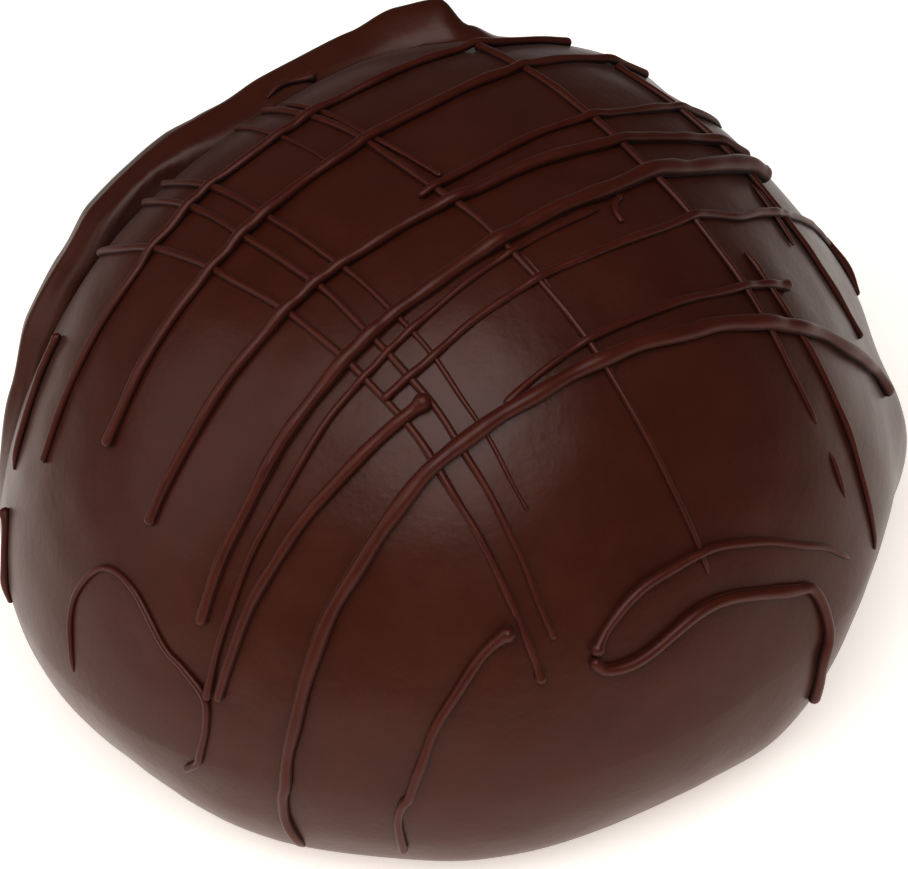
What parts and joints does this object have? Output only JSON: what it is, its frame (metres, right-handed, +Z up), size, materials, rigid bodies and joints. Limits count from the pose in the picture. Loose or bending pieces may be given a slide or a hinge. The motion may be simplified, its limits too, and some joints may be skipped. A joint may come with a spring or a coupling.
{
  "type": "chocolate truffle",
  "caption": "Dark chocolate truffle: a round dome on a flat base, coated in chocolate, with a rolled wave of coating on one side and crossed strands of drizzle over the top.",
  "frame": {"origin": "middle of the flat base, on the surface it stands on", "axes": "+Z up through the crown of the dome; the front faces -Y; the rolled wave of coating is at the back left, towards -X and +Y"},
  "size_m": [0.0355, 0.0355, 0.0217],
  "materials": {
    "dark_chocolate": "satin dark chocolate",
    "drizzle_chocolate": "satin chocolate drizzle, slightly redder than the coating"
  },
  "bodies": {
    "root": {"truffle": "dark_chocolate"}
  },
  "joints": []
}
